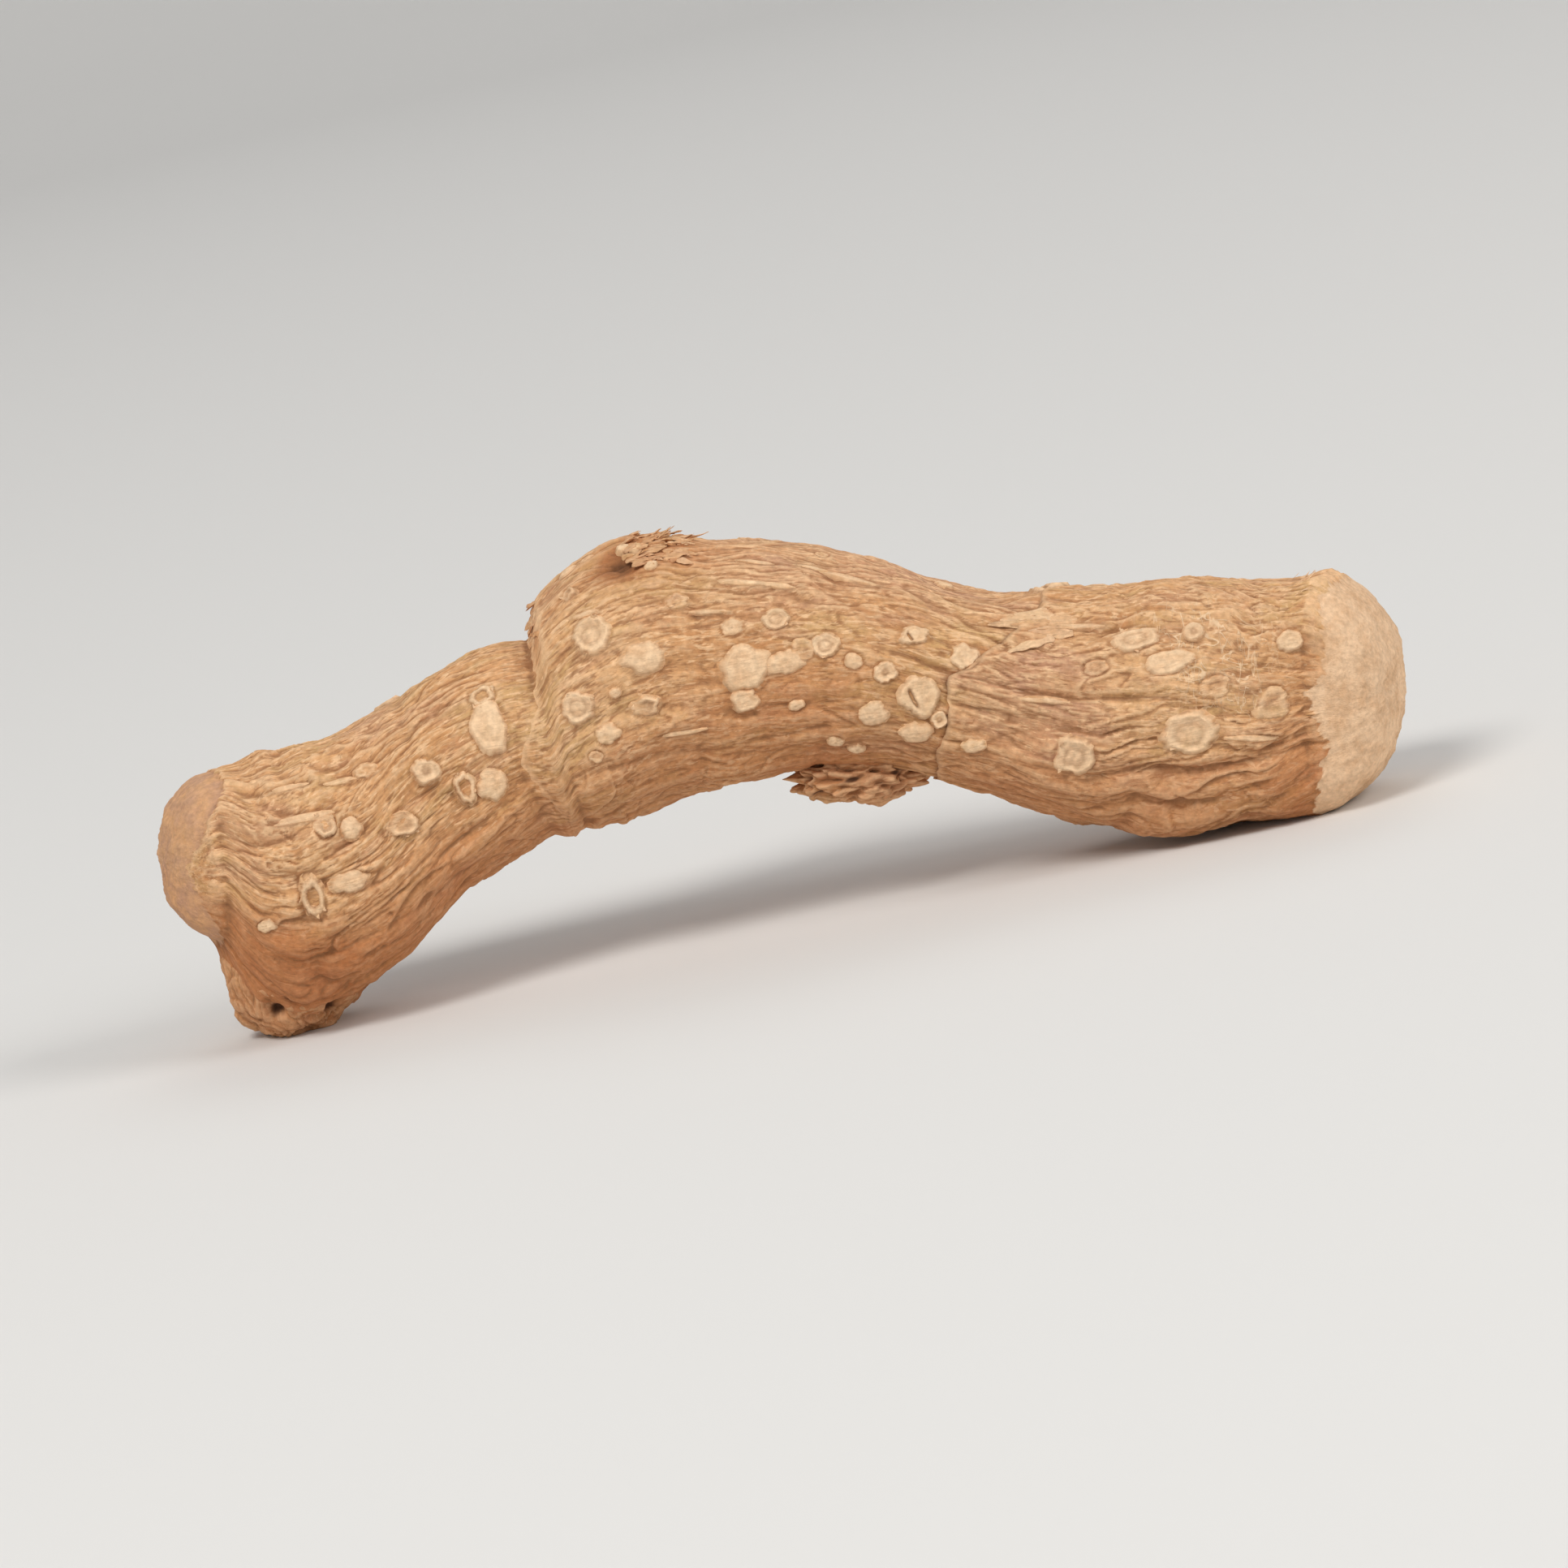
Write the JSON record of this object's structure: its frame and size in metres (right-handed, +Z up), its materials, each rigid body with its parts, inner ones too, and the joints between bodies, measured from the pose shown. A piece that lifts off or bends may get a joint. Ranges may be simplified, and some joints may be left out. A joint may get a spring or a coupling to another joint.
{
  "type": "calamus root",
  "caption": "Dried calamus root length: an arched, wrinkled rhizome with ring collars, round root scars and two cut ends.",
  "frame": {"origin": "centre of the bounding box's base, on the surface the root stands on", "axes": "+X along the root to its broad cut end, -Y out of its scarred front, +Z up"},
  "size_m": [0.0981, 0.0204, 0.0319],
  "materials": {
    "dried_root": "matt dry bark, pale round scars, chalky cut ends"
  },
  "bodies": {
    "root": {"rhizome": "dried_root"}
  },
  "joints": []
}
